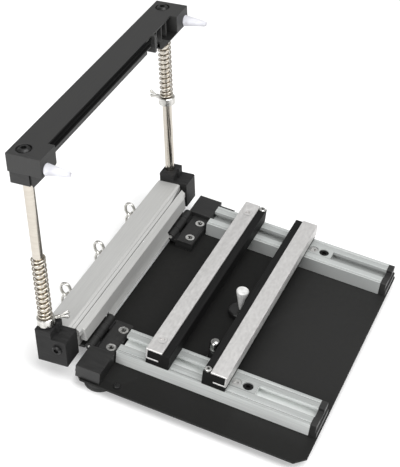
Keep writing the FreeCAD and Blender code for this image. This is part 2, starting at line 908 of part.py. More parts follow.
def collar(side, up, turn):
    """Make the collar of one rod and the thumb screw that locks it."""
    spin = Rotation(Vector(0, 0, 1), number(turn))
    points = [
        ("RodRadius + SlideFit", "0"),
        ("CollarRadius", "0"),
        ("CollarRadius", "CollarHeight"),
        ("RodRadius + SlideFit", "CollarHeight"),
    ]
    ring = turned("collar_" + side, points)
    bore(ring, "YZ_Plane", "0", "0", "CollarHeight / 2", "ThumbShank + PinFit",
         "CollarRadius * 2", True)
    hang(ring, "%s * RodOffset" % sign[side], "RodBack", up, spin)
    screw = new_body("collar_screw_" + side)
    shank = new_sketch(screw, "XZ_Plane")
    outline(shank, [
        ("RodRadius + SlideFit", "0"),
        ("RodRadius + SlideFit", "ThumbShank"),
        ("CollarRadius + PartGap", "ThumbShank"),
        ("CollarRadius + PartGap", "ThumbHubRadius"),
        ("ThumbHubEnd", "ThumbHubRadius"),
        ("ThumbHubEnd", "0"),
    ])
    revolve(screw, shank, "H_Axis")
    wings = new_sketch(screw, "XZ_Plane")
    outline(wings, [
        ("ThumbHubEnd - ThumbHubRadius", "ThumbHubRadius / 2"),
        ("ThumbReach - ThumbThick", "ThumbSpread"),
        ("ThumbReach", "ThumbSpread - ThumbThick / 3"),
        ("ThumbReach - ThumbThick / 4", "ThumbSpread - ThumbThick"),
        ("ThumbHubEnd + ThumbThick / 2", "0"),
        ("ThumbReach - ThumbThick / 4", "-(ThumbSpread - ThumbThick)"),
        ("ThumbReach", "-(ThumbSpread - ThumbThick / 3)"),
        ("ThumbReach - ThumbThick", "-ThumbSpread"),
        ("ThumbHubEnd - ThumbHubRadius", "-ThumbHubRadius / 2"),
    ])
    pad(screw, wings, "ThumbThick", True)
    hang(screw, "%s * RodOffset" % sign[side], "RodBack", up + " + CollarHeight / 2", spin)


def spring(side, up, height):
    """Sweep a round wire along a helix about one rod."""
    wire = number("SpringWire")
    mean = number("SpringMean")
    rise = number(height) - 2 * wire
    turns = max(1, round(rise / number("SpringPitch")))
    helix = Part.makeHelix(rise / turns, rise, mean)
    section = Part.Wire(Part.makeCircle(wire, Vector(mean, 0, 0), Vector(0, 1, 0)))
    body = doc.addObject("Part::Feature", "Spring_" + side)
    body.Label = "spring_" + side
    body.Shape = Part.Wire(helix).makePipeShell([section], True, True)
    return hang(body, "%s * RodOffset" % sign[side], "RodBack", up + " + SpringWire")


def upper_bar():
    """Make the bar at the head of the frame, which slides on both rods."""
    seat_top = "UpperTop - StripHeight"
    seat_low = seat_top + " - SeatThick"
    middle = [
        ("RebateFront", upper_bottom),
        ("UpperRear", upper_bottom),
        ("UpperRear", "UpperTop"),
        ("UpperMidFront", "UpperTop"),
        ("UpperMidFront", seat_low),
        ("RebateFront", seat_low),
    ]
    ledge = [
        ("SeatFront", seat_low),
        ("RebateFront", seat_low),
        ("RebateFront", seat_top),
        ("SeatFront", seat_top),
    ]
    recess = [
        ("RecessBack", upper_bottom),
        ("UpperRear", upper_bottom),
        ("UpperRear", "UpperTop"),
        ("UpperMidFront", "UpperTop"),
        ("UpperMidFront", "UpperTop - RecessRoof"),
        ("RecessBack", "UpperTop - RecessRoof"),
    ]
    rib = [
        ("UpperMidFront", upper_bottom),
        ("RecessBack", upper_bottom),
        ("RecessBack", "UpperTop - RecessRoof"),
        ("UpperMidFront", "UpperTop - RecessRoof"),
    ]
    stop = [
        ("SeatFront", upper_bottom),
        ("RecessBack", upper_bottom),
        ("RecessBack", "UpperTop"),
        ("SeatFront", "UpperTop"),
    ]
    end = [
        ("UpperEndFront", upper_bottom),
        ("UpperRear", upper_bottom),
        ("UpperRear", "UpperTop"),
        ("UpperEndFront", "UpperTop"),
    ]
    width = "UpperEndReach + UpperEndInset"
    bar = prism("upper_bar", "YZ_Plane", "-(RodOffset - UpperEndInset)",
                "RodOffset - UpperEndInset + RecessStart", middle)
    add_prism(bar, "YZ_Plane", "RecessStart", "RodOffset - UpperEndInset - RecessStart", recess)
    add_prism(bar, "YZ_Plane", "-(RodOffset - UpperEndInset)",
              "RodOffset - UpperEndInset + StripEnd", ledge)
    add_prism(bar, "YZ_Plane", "RibFirst", "2 * RibWidth", stop)
    for i in range(1, 4):
        add_prism(bar, "YZ_Plane", "RibFirst + %d * RibPitch" % i, "RibWidth", rib)
    for side in SIDES:
        x_low = start(side, "(RodOffset - UpperEndInset)", "(RodOffset + UpperEndReach)")
        add_prism(bar, "YZ_Plane", x_low, width, end)
        x = "%s * RodOffset" % sign[side]
        bore(bar, "XY_Plane", "UpperTop", x, "RodBack", "RodRadius + SlideFit",
             "UpperThick + HoleFit")
        bore(bar, "XY_Plane", "UpperTop", x, "RodBack", "CounterRadius", "UpperTop - RodTop")
    hang(bar)


def upper_strip():
    """Make the fluted strip that forms the slit along the front of the upper bar."""
    bottom = "UpperTop - StripHeight"
    section = [
        ("StripFront", bottom),
        ("StripBack", bottom),
        ("StripBack", "UpperTop"),
        ("StripFront", "UpperTop"),
        ("StripFront", "UpperTop - StripHeight * 0.3"),
        ("StripFront + StripFlute", "UpperTop - StripHeight * 0.4"),
        ("StripFront + StripFlute", "UpperTop - StripHeight * 0.6"),
        ("StripFront", "UpperTop - StripHeight * 0.7"),
    ]
    strip = prism("upper_strip", "YZ_Plane", "-(RodOffset - UpperEndInset)",
                  "RodOffset - UpperEndInset + StripEnd", section)
    hang(strip)


def upper_guide(side):
    """Make the guide block under one end of the upper bar."""
    outer = "RodOffset + UpperEndReach - GuideOuterStep"
    inner = "(RodOffset - UpperEndInset)" if side == "left" else "(RodOffset - GuideInset)"
    x_low = start(side, inner, outer)
    low = "(%s - GuideHeight)" % upper_bottom
    section = [
        ("GuideFoot", low),
        ("GuideRear", low),
        ("GuideRear", upper_bottom),
        ("GuideFront", upper_bottom),
        ("GuideFront", upper_bottom + " - GuideNose"),
    ]
    block = prism("upper_guide_" + side, "YZ_Plane", x_low, "%s - %s" % (outer, inner), section)
    x = "%s * RodOffset" % sign[side]
    bore(block, "XY_Plane", upper_bottom, x, "RodBack", "RodRadius + SlideFit",
         "GuideHeight + HoleFit")
    slit = new_sketch(block, "YZ_Plane", "%s * (%s)" % (sign[side], outer))
    outline(slit, [
        ("GuideSlotBack", low),
        ("GuideSlotBack + GuideSlotWidth", low),
        ("GuideSlotBack + GuideSlotWidth", upper_bottom),
        ("GuideSlotBack", upper_bottom),
    ])
    pocket(block, slit, "GuideSlotDepth", side == "left")
    for i in range(2):
        back = "GuideFoot + GuideRib + %d * (GuidePocketWidth + GuideRib)" % i
        hollow = new_sketch(block, "YZ_Plane", "%s * %s" % (sign[side], inner))
        outline(hollow, [
            (back, low + " + GuideRib"),
            (back + " + GuidePocketWidth", low + " + GuideRib"),
            (back + " + GuidePocketWidth", upper_bottom + " - GuideRib"),
            (back, upper_bottom + " - GuideRib"),
        ])
        pocket(block, hollow, "GuidePocketDepth", side == "right")
    hang(block)


def cone_foot(side):
    """Make the cone that lands on the base plate when the frame is down."""
    points = [
        ("0", "0"),
        ("ConeBase", "0"),
        ("ConeTip", "ConeLength - ConeRound"),
        ("ConeTip - ConeRound", "ConeLength"),
        ("0", "ConeLength"),
    ]
    cone = turned("cone_foot_" + side, points)
    forward = Rotation(Vector(1, 0, 0), 90)
    hang(cone, "%s * (RodOffset + ConeReach)" % sign[side], "UpperEndFront", "ConeUp", forward)


def cross_bar(end):
    """Make one board bar: aluminium channel, ledge insert, keys and screws."""
    if end == "front":
        face = "(FrontBarSetback - PlateFront)"
        way = "+"
        side_with_pin = "left"
    else:
        face = "(RearBarSetback - PlateFront)"
        way = "-"
        side_with_pin = "right"

    def y(text):
        return "%s %s (%s)" % (face, way, text)

    def z(text):
        return "%s + BarGap + %s" % (rail_top, text)

    channel = [
        (y("0"), z("BarBase")),
        (y("BarFlange"), z("BarBase")),
        (y("BarFlange"), z("BarBase + BarWall")),
        (y("BarWall"), z("BarBase + BarWall")),
        (y("BarWall"), z("BarTop - BarWall")),
        (y("BarDepth"), z("BarTop - BarWall")),
        (y("BarDepth"), z("BarTop")),
        (y("0"), z("BarTop")),
    ]
    deep = "BarDepth + LedgeWidth"
    insert = [
        (y("BarOverhang"), z("0")),
        (y(deep), z("0")),
        (y(deep), z("BarTop - BarWall")),
        (y("BarWall + PartGap"), z("BarTop - BarWall")),
        (y("BarWall + PartGap"), z("BarBase + BarWall + PartGap")),
        (y("BarFlange + PartGap"), z("BarBase + BarWall + PartGap")),
        (y("BarFlange + PartGap"), z("BarBase")),
        (y("BarOverhang"), z("BarBase")),
    ]
    metal = prism(end + "_bar_channel", "YZ_Plane", bar_left, bar_length, channel)
    core = prism(end + "_bar_insert", "YZ_Plane", bar_left, bar_length, insert)
    pin_y = y("BarDepth + LedgeWidth / 2")
    if side_with_pin == "left":
        pin_x = bar_left + " + PinInset"
    else:
        pin_x = "%s + %s - PinInset" % (bar_left, bar_length)
    pin = button_screw(end + "_ledge_screw", "PinShank", "PinShankLength", "PinHeadRadius",
                       "PinHeadHeight", "PinHeadHeight / 3")
    hex_socket(pin, "PinHeadHeight", "PinHeadRadius / 2", "PinHeadHeight / 2")
    seat(pin, pin_x, pin_y, z("BarTop - BarWall"))
    bore(core, "XY_Plane", z("BarTop - BarWall"), pin_x, pin_y, "PinShank + HeadFit",
         "PinShankLength + HoleFit")
    screws = []
    for side in SIDES:
        if end == "front":
            front_key(side, face, z("0"))
        else:
            screws.append(rear_nut(side, y("BarScrewInset"), metal, core, z))
    if screws:
        join("rear_bar_screws", screws)


def key_section(side, top):
    """Return the section of a slider that runs in a rail's slot."""
    x = rail_x[side]
    low = "(%s - LipThick - SlotInnerHeight + KeyFit)" % rail_top
    shelf = "(%s - LipThick - KeyFit)" % rail_top
    return [
        (x + " - SlotInner / 2 + KeyFit", low),
        (x + " + SlotInner / 2 - KeyFit", low),
        (x + " + SlotInner / 2 - KeyFit", shelf),
        (x + " + SlotWidth / 2 - KeyFit", shelf),
        (x + " + SlotWidth / 2 - KeyFit", top),
        (x + " - SlotWidth / 2 + KeyFit", top),
        (x + " - SlotWidth / 2 + KeyFit", shelf),
        (x + " - SlotInner / 2 + KeyFit", shelf),
    ]


def front_key(side, face, top):
    """Make the slider that guides the front bar, with its two lock screws."""
    rear = "(%s - KeyReach + KeyLength)" % face
    key = prism("front_bar_key_" + side, "XZ_Plane", "-" + rear, "KeyLength",
                key_section(side, top))
    screws = []
    for i in range(2):
        y = "%s - KeyReach + LockFirst + %d * LockPitch" % (face, i)
        bore(key, "XY_Plane", top, rail_x[side], y, "LockHeadRadius + HeadFit",
             "LockSink + LockHeadDepth")
        bore(key, "XY_Plane", top, rail_x[side], y, "ShankRadius + HeadFit",
             "LockSink + LockHeadDepth + LockLength")
        screw = button_screw("lock_screw", "ShankRadius", "LockLength", "LockHeadRadius",
                             "LockHeadDepth", "LockHeadDepth / 8")
        hex_socket(screw, "LockHeadDepth", "LockHeadRadius / 2", "LockHeadDepth / 2")
        place = top + " - LockSink - LockHeadDepth"
        screws.append(seat(screw, rail_x[side], y, place))
    join("lock_screws_" + side, screws)


def rear_nut(side, y, metal, core, z):
    """Make the nut in the slot under the rear bar and the screw that holds the bar to it."""
    x = rail_x[side]
    nut = prism("rear_bar_nut_" + side, "XZ_Plane", "-(%s + NutLength / 2)" % y, "NutLength",
                key_section(side, rail_top))
    length = "BarTop + LipThick + SlotInnerHeight - KeyFit"
    bore(nut, "XY_Plane", rail_top, x, y, "ShankRadius + HeadFit", "LipThick + SlotInnerHeight")
    countersink(metal, x, y, z("BarTop"), z("0"))
    bore(core, "XY_Plane", z("BarTop - BarWall"), x, y, "SunkHeadRadius - HeadFit", "BarWall / 2")
    bore(core, "XY_Plane", z("BarTop - BarWall"), x, y, "ShankRadius + HoleFit", "BarTop")
    return seat(sunk_screw("rear_bar_screw", length), x, y, z("BarTop"))


def support_posts():
    """Make the tapered and the domed board support, each on a magnet."""
    top = "(RailHeight + BarGap + BarTop - BarWall)"

    def magnet(label, radius, x, y):
        points = [
            ("0", "0"),
            (radius, "0"),
            (radius, "MagnetHeight - MagnetBevel"),
            (radius + " - MagnetBevel", "MagnetHeight"),
            ("0", "MagnetHeight"),
        ]
        seat(turned(label, points), x, y, plate_top + " + PartGap / 2")

    taper_y = "(FrontBarSetback + BarDepth + LedgeWidth + TaperGap + TaperTopRadius) - PlateFront"
    dome_y = "(FrontBarSetback + BarDepth + LedgeWidth + DomeGap + DomeRadius) - PlateFront"
    dome_x = "(%s + RailWidth / 2 + DomeRailGap + SmallMagnetRadius)" % rail_x["left"]
    magnet("magnet_right", "MagnetRadius", "TaperX", taper_y)
    magnet("magnet_left", "SmallMagnetRadius", dome_x, dome_y)
    rise = "(%s - MagnetHeight - PartGap)" % top
    taper = [
        ("0", "0"),
        ("TaperFootRadius", "0"),
        ("TaperTopRadius", rise + " - TaperCrown"),
        ("TaperTopRadius - TaperCrown", rise),
        ("0", rise),
    ]
    dome = [
        ("0", "0"),
        ("DomeRadius", "0"),
        ("DomeRadius", rise + " - DomeCrown"),
        ("DomeRadius * 0.87", rise + " - DomeCrown / 2"),
        ("DomeRadius / 2", rise + " - DomeCrown * 0.13"),
        ("0", rise),
    ]
    stand = "%s + PartGap / 2 + MagnetHeight" % plate_top
    seat(turned("support_post_right", taper), "TaperX", taper_y, stand)
    seat(turned("support_post_left", dome), dome_x, dome_y, stand)


base_plate()
feet()
plate_screw()
rails()
corner_blocks()
for side in SIDES:
    fixed_leaf(side)
    moving_leaf(side)
    hinge_pin(side)
    lower_block(side)
    rod(side)
block_screws()
rod_screws()
clamp_rear_bar()
clamp_front_jaw()
wing_screw("left", "-WingPitch")
wing_screw("centre", "0")
wing_screw("right", "WingPitch")
collar("left", "CollarLeftUp", "CollarLeftTurn")
collar("right", "CollarRightUp", "CollarRightTurn")
spring("left", "CollarLeftUp + CollarHeight", "SpringLeftHeight")
spring("right", "CollarRightUp + CollarHeight",
       upper_bottom + " - GuideHeight - SpringRightGap - CollarRightUp - CollarHeight")
upper_bar()
upper_strip()
for side in SIDES:
    upper_guide(side)
    cone_foot(side)
cross_bar("front")
cross_bar("rear")
support_posts()
doc.recompute()

# Check every object, then write one file for each piece
for item in doc.Objects:
    if "Invalid" in item.State or "Error" in item.State:
        raise ValueError("failed object " + item.Label)
groups = [item for item in doc.Objects if item.TypeId == "Part::Compound"]
grouped = [body.Name for group in groups for body in group.Links]
singles = [item for item in doc.Objects
           if item.TypeId in ("PartDesign::Body", "Part::Feature") and item.Name not in grouped]
pieces = singles + groups
os.makedirs("parts", exist_ok=True)
for piece in pieces:
    wanted = len(piece.Links) if piece in groups else 1
    if piece.Shape.isNull() or not piece.Shape.isValid() or len(piece.Shape.Solids) != wanted:
        raise ValueError("bad shape in " + piece.Label)
for piece in pieces:
    piece.Shape.exportStep("parts/" + piece.Label + ".step")
print(len(pieces), "pieces")
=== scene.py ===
import json
import math
import bmesh
import bpy
import numpy as np
from mathutils import Matrix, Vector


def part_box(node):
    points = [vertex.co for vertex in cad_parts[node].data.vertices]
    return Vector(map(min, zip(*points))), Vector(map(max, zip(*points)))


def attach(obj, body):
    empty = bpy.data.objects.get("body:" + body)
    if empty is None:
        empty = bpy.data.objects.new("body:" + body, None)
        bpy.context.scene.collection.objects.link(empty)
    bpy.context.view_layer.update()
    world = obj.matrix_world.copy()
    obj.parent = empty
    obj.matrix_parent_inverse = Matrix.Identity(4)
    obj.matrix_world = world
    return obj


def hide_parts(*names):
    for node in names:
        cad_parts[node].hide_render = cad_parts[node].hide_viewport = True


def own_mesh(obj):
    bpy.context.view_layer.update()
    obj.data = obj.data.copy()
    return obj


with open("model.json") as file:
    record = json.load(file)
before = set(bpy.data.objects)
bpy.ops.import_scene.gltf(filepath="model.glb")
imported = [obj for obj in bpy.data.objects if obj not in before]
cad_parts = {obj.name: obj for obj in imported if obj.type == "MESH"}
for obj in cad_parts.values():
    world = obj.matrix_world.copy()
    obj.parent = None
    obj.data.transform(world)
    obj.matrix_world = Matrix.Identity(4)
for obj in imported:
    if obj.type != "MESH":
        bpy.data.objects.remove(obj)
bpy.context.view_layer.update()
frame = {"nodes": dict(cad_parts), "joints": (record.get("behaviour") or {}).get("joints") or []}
nodes = frame["nodes"]
scene = bpy.context.scene

# The camera stands to the left of the machine, a metre away, and looks down on it with a slight
# roll. Its lens takes in 400 by 467 pixels with a focal length of 1264 of them.
camera_data = bpy.data.cameras.new("camera")
camera_data.sensor_width = 36.0
focal_pixels = 1263.75
tall_pixels = 467
camera_data.lens = camera_data.sensor_width * focal_pixels / tall_pixels
camera = bpy.data.objects.new("camera", camera_data)
scene.collection.objects.link(camera)
scene.camera = camera
heading = math.radians(-71.11)
height = math.radians(39.26)
roll = math.radians(6.94)
camera_place = (-0.7253, -0.2292, 0.7088)
back = np.array([
    math.sin(heading) * math.cos(height),
    -math.cos(heading) * math.cos(height),
    math.sin(height),
])
level = np.cross([0, 0, 1], back)
level = level / np.linalg.norm(level)
upright = np.cross(back, level)
pose = np.eye(4)
pose[:3, 0] = math.cos(roll) * level + math.sin(roll) * upright
pose[:3, 1] = math.cos(roll) * upright - math.sin(roll) * level
pose[:3, 2] = back
pose[:3, 3] = camera_place
camera.matrix_world = Matrix(pose.tolist())

# The machine stands on a pale table under one wide softbox overhead. A smaller one at the left
# and a weak one in front fill the shadows, as in a product photograph.
table_mesh = bpy.data.meshes.new("table")
half_table = 9
table_mesh.from_pydata([
    (-half_table, -half_table, 0),
    (half_table, -half_table, 0),
    (half_table, half_table, 0),
    (-half_table, half_table, 0),
], [], [(0, 1, 2, 3)])
table = bpy.data.objects.new("table", table_mesh)
scene.collection.objects.link(table)
table_paint = bpy.data.materials.new("pale_table")
table_paint.use_nodes = True
table_shader = table_paint.node_tree.nodes["Principled BSDF"]
table_shader.inputs["Base Color"].default_value = (0.9, 0.9, 0.9, 1)
table_shader.inputs["Roughness"].default_value = 0.9
table_shader.inputs["Specular IOR Level"].default_value = 0.0
table_shader.inputs["Emission Color"].default_value = (1, 1, 1, 1)
table_shader.inputs["Emission Strength"].default_value = 0.15
table_mesh.materials.append(table_paint)
scene.view_settings.view_transform = "Standard"
world = bpy.data.worlds.new("studio")
world.use_nodes = True
world.node_tree.nodes["Background"].inputs["Color"].default_value = (1, 1, 1, 1)
world.node_tree.nodes["Background"].inputs["Strength"].default_value = 0.55
scene.world = world


def softbox(name, place, aim, width, power):
    """A square area light at one point that faces another, its side nearly square to Y."""
    data = bpy.data.lights.new(name, "AREA")
    data.size = width
    data.energy = power
    lamp = bpy.data.objects.new(name, data)
    scene.collection.objects.link(lamp)
    away = np.array(place) - np.array(aim)
    away = away / np.linalg.norm(away)
    nearly_y = [0.02, 1, 0.01]
    side = np.cross(nearly_y, away)
    side = side / np.linalg.norm(side)
    turn = np.eye(4)
    turn[:3, 0] = side
    turn[:3, 1] = np.cross(away, side)
    turn[:3, 2] = away
    turn[:3, 3] = place
    lamp.matrix_world = Matrix(turn.tolist())


softbox("softbox_over", (-0.2, -0.45, 1.4), (0, 0, 0.05), 1.2, 17)
softbox("softbox_left", (-1.4, 0.3, 0.7), (0, 0, 0.08), 0.8, 12)
softbox("softbox_front", (-0.3, -1.4, 1.2), (0, 0, 0.08), 0.8, 0.8)


# The base plate is sheet steel with cut corners, powder coated black. The coat has a fine
# orange peel and small cloudy changes of tone. Painted light makes it a little greyer in front
# of the bars, and painted shade makes it darker towards the left rail.
def new_finish(name, colour, metallic, roughness):
    """A material with the given even values, ready for patterns: its tree and its shader."""
    finish = bpy.data.materials.new(name)
    finish.use_nodes = True
    shader = finish.node_tree.nodes["Principled BSDF"]
    shader.inputs["Base Color"].default_value = (*colour, 1)
    shader.inputs["Metallic"].default_value = metallic
    shader.inputs["Roughness"].default_value = roughness
    return finish, finish.node_tree, shader


def pattern(tree, scale, stretch=(1, 1, 1), detail=3.0):
    """A noise in the object's own coordinates, per metre, drawn out along the axes given."""
    place = tree.nodes.new("ShaderNodeTexCoord")
    mapping = tree.nodes.new("ShaderNodeMapping")
    mapping.inputs["Scale"].default_value = stretch
    noise = tree.nodes.new("ShaderNodeTexNoise")
    noise.inputs["Scale"].default_value = scale
    noise.inputs["Detail"].default_value = detail
    tree.links.new(place.outputs["Object"], mapping.inputs["Vector"])
    tree.links.new(mapping.outputs["Vector"], noise.inputs["Vector"])
    return noise.outputs["Fac"]


def tones(tree, shader, factor, dark, light, low=0.35, high=0.65):
    """Colour that runs from dark to light as the pattern rises from low to high."""
    ramp = tree.nodes.new("ShaderNodeValToRGB")
    ramp.color_ramp.elements[0].position = low
    ramp.color_ramp.elements[0].color = (*dark, 1)
    ramp.color_ramp.elements[1].position = high
    ramp.color_ramp.elements[1].color = (*light, 1)
    tree.links.new(factor, ramp.inputs["Fac"])
    tree.links.new(ramp.outputs["Color"], shader.inputs["Base Color"])


def along_axis(tree, axis, start, end):
    """A value that rises from 0 to 1 between two places along one axis of the object, in metres."""
    place = tree.nodes.new("ShaderNodeTexCoord")
    parts = tree.nodes.new("ShaderNodeSeparateXYZ")
    step = tree.nodes.new("ShaderNodeMapRange")
    step.inputs["From Min"].default_value = start
    step.inputs["From Max"].default_value = end
    tree.links.new(place.outputs["Object"], parts.inputs["Vector"])
    tree.links.new(parts.outputs[axis], step.inputs["Value"])
    return step.outputs["Result"]


def blended(tree, first, second, share):
    """The given share of the first value added to the rest of the second."""
    parts = []
    for value, part in ((first, share), (second, 1 - share)):
        scaled = tree.nodes.new("ShaderNodeMath")
        scaled.operation = "MULTIPLY"
        scaled.inputs[1].default_value = part
        tree.links.new(value, scaled.inputs[0])
        parts.append(scaled.outputs["Value"])
    total = tree.nodes.new("ShaderNodeMath")
    total.operation = "ADD"
    tree.links.new(parts[0], total.inputs[0])
    tree.links.new(parts[1], total.inputs[1])
    return total.outputs["Value"]


def polish(tree, shader, factor, smooth, rough):
    """Roughness that runs from smooth to rough with the pattern."""
    spread = tree.nodes.new("ShaderNodeMapRange")
    spread.inputs["From Min"].default_value = 0.3
    spread.inputs["From Max"].default_value = 0.7
    spread.inputs["To Min"].default_value = smooth
    spread.inputs["To Max"].default_value = rough
    tree.links.new(factor, spread.inputs["Value"])
    tree.links.new(spread.outputs["Result"], shader.inputs["Roughness"])


def relief(tree, shader, factor, depth, strength=0.5):
    """A surface that rises and falls with the pattern by the given depth in metres."""
    bump = tree.nodes.new("ShaderNodeBump")
    bump.inputs["Strength"].default_value = strength
    bump.inputs["Distance"].default_value = depth
    tree.links.new(factor, bump.inputs["Height"])
    tree.links.new(bump.outputs["Normal"], shader.inputs["Normal"])


def finish_mesh(name, mesh, body, finish, stands_for):
    """Put a mesh into the scene as a piece of one body, in its finish, for the solids named."""
    mesh.materials.clear()
    mesh.materials.append(finish)
    piece = bpy.data.objects.new(name, mesh)
    scene.collection.objects.link(piece)
    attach(piece, body)
    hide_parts(*stands_for)
    return piece


weld = 2e-6
one_plane = math.radians(0.6)
sharp_edge = math.radians(32)


def eased(name, node, body, finish, width):
    """The solid's own faces, its triangles merged into whole ones, with every sharp edge rounded
    to about the width given."""
    shell = bmesh.new()
    shell.from_mesh(nodes[node].data)
    bmesh.ops.remove_doubles(shell, verts=shell.verts, dist=weld)
    bmesh.ops.dissolve_limit(shell, angle_limit=one_plane, verts=shell.verts, edges=shell.edges)
    mesh = bpy.data.meshes.new(name)
    shell.to_mesh(mesh)
    shell.free()
    for layer in list(mesh.uv_layers):
        mesh.uv_layers.remove(layer)
    mesh.shade_smooth()
    mesh.set_sharp_from_angle(angle=sharp_edge)
    piece = finish_mesh(name, mesh, body, finish, [node])
    soften = piece.modifiers.new("soft_edges", "BEVEL")
    soften.width = width
    soften.segments = 2
    soften.limit_method = "ANGLE"
    soften.angle_limit = sharp_edge
    soften.use_clamp_overlap = False
    soften.harden_normals = True
    return piece


powder, tree, shader = new_finish("black_powder_coat", (0.012, 0.012, 0.012), 0.0, 0.5)
# Painted light and shade: lighter in front of the bars, darker towards the left rail.
front = along_axis(tree, "Y", -0.035, -0.06)
lit_away_from_left_rail = along_axis(tree, "X", -0.105, -0.07)
painted_light_mask = blended(tree, front, lit_away_from_left_rail, 0.5)
tones(tree, shader, blended(tree, painted_light_mask, pattern(tree, 14, detail=4), 0.8),
      (0.011, 0.011, 0.0105), (0.021, 0.021, 0.0205), 0.42, 0.92)
polish(tree, shader, pattern(tree, 240), 0.46, 0.6)
relief(tree, shader, pattern(tree, 1500, detail=2), 0.00005, 0.25)
shader.inputs["Specular IOR Level"].default_value = 0.13
eased("plate_sheet", "base_plate", "base", powder, 0.0003)


# Four round feet of black rubber, moulded with a shallow groove round the side and glued under
# the plate.
crease = math.radians(38)


def surface(name, points, looped=False):
    """A mesh over a grid of points. Each row is a closed ring, and each ring is joined to the
    next. The first and the last are closed by a face, or joined to each other if looped."""
    rows, columns = points.shape[:2]
    index = np.arange(rows * columns).reshape(rows, columns)
    if looped:
        first, second = index, np.roll(index, -1, axis=0)
    else:
        first, second = index[:-1], index[1:]
    quads = np.stack(
        [first, np.roll(first, -1, axis=1), np.roll(second, -1, axis=1), second], axis=-1)
    faces = quads.reshape(-1, 4).tolist()
    if not looped:
        faces += [index[0][::-1].tolist(), index[-1].tolist()]
    mesh = bpy.data.meshes.new(name)
    mesh.from_pydata(points.reshape(-1, 3).tolist(), [], faces)
    shell = bmesh.new()
    shell.from_mesh(mesh)
    bmesh.ops.recalc_face_normals(shell, faces=shell.faces)
    shell.to_mesh(mesh)
    shell.free()
    mesh.shade_smooth()
    mesh.set_sharp_from_angle(angle=crease)
    return mesh


def turned(profile, centre, columns=48):
    """Points of a turned shape: each radius and height of the profile carried round Z."""
    profile = np.array(profile) / 1000
    angle = np.linspace(0, 2 * math.pi, columns, endpoint=False)
    ring = np.stack([np.cos(angle), np.sin(angle), np.zeros(columns)], axis=1)
    rise = profile[:, 1][:, None, None] * np.array([0, 0, 1])
    return profile[:, 0][:, None, None] * ring + rise + np.array(centre)


rubber, tree, shader = new_finish("foot_rubber", (0.013, 0.013, 0.013), 0.0, 0.75)
tones(tree, shader, pattern(tree, 90), (0.010, 0.010, 0.010), (0.018, 0.018, 0.017))
relief(tree, shader, pattern(tree, 900), 0.0001, 0.3)
foot_profile = [
    (2.0, 0.9), (4.6, 0.9), (5.0, 0.15), (10.6, 0.0), (11.4, 0.25), (11.9, 0.9), (12.0, 3.2),
    (11.6, 3.6), (11.6, 4.2), (11.9, 4.6), (11.75, 7.6), (11.4, 7.98), (2.0, 7.98),
]
for end in ("front", "rear"):
    for side in ("left", "right"):
        node = "foot_%s_%s" % (end, side)
        low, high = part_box(node)
        centre = ((low[0] + high[0]) / 2, (low[1] + high[1]) / 2, 0)
        mesh = surface(node + "_rubber", turned(foot_profile, centre))
        finish_mesh(node + "_rubber", mesh, "base", rubber, [node])

# Two slotted rails are cut from natural anodised extrusion, which shows fine lines along its
# length. Light is painted on the left one, whose sides are much brighter than its top, and the
# right one is nearly even. A black moulded cap closes the front end of each.
rail_metal_painted_light = {}
top = max(corner[2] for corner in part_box("rail_left"))
for side, top_painted_tone, side_painted_tone in (("left", 0.33, 0.8), ("right", 0.5, 0.46)):
    rail_metal_painted_light[side], tree, shader = new_finish(
        "rail_extrusion_painted_light_" + side, (0.5, 0.52, 0.51), 0.35, 0.5)
    lines = pattern(tree, 60, (30, 0.5, 30), 4)
    # Painted light: below the rail's top the faces take the side tone, the top its own tone.
    painted_face_light = along_axis(tree, "Z", top - 0.0003, top - 0.0006)
    tones(tree, shader, blended(tree, painted_face_light, lines, 0.5),
          (top_painted_tone, top_painted_tone * 1.04, top_painted_tone * 1.02),
          (side_painted_tone, side_painted_tone * 1.025, side_painted_tone * 1.01), 0.15, 0.85)
    polish(tree, shader, lines, 0.42, 0.52)
    relief(tree, shader, lines, 0.00003, 0.3)
moulded, tree, shader = new_finish("black_moulding", (0.015, 0.015, 0.015), 0.0, 0.45)
tones(tree, shader, pattern(tree, 120), (0.012, 0.012, 0.012), (0.019, 0.019, 0.018))
relief(tree, shader, pattern(tree, 1200, detail=2), 0.00004, 0.25)
for side in ("left", "right"):
    eased("rail_%s_extrusion" % side, "rail_" + side, "base", rail_metal_painted_light[side], 0.00025)
    eased("rail_%s_end" % side, "rail_cap_" + side, "base", moulded, 0.0003)

# Behind each rail a milled aluminium block, anodised satin black, carries the end of the rail.
# The leaves of the two butt hinges are milled and anodised the same way.
anodised, tree, shader = new_finish("black_anodised", (0.02, 0.02, 0.02), 0.2, 0.45)
mill = pattern(tree, 70, (8, 1, 8), 3)
tones(tree, shader, mill, (0.012, 0.012, 0.012), (0.02, 0.02, 0.0195))
polish(tree, shader, mill, 0.36, 0.5)
relief(tree, shader, pattern(tree, 700, (1, 0.4, 1)), 0.00003, 0.25)
for side in ("left", "right"):
    eased("corner_%s_milled" % side, "corner_block_" + side, "base", anodised,
          0.0004)
    eased("leaf_%s_milled" % side, "hinge_fixed_leaf_" + side, "base", anodised,
          0.0003)
    eased("swing_leaf_%s_milled" % side, "hinge_moving_leaf_" + side, "swing_frame", anodised,
          0.0003)

# The hinge pins, and the countersunk screws that hold the fixed leaves down, are steel with
# bright zinc on them. The screws have round sockets, and a dark disc on the floor of each is
# painted shade.
zinc, tree, shader = new_finish("bright_zinc", (0.75, 0.75, 0.73), 1.0, 0.28)
wear = pattern(tree, 400)
tones(tree, shader, wear, (0.62, 0.62, 0.6), (0.86, 0.86, 0.84))
polish(tree, shader, wear, 0.2, 0.36)


def coat(node, finish):
    """Give a solid of the frame its finish, in the slots of its own object."""
    for place in nodes[node].material_slots:
        place.link = "OBJECT"
        place.material = finish


disc = 0.0001


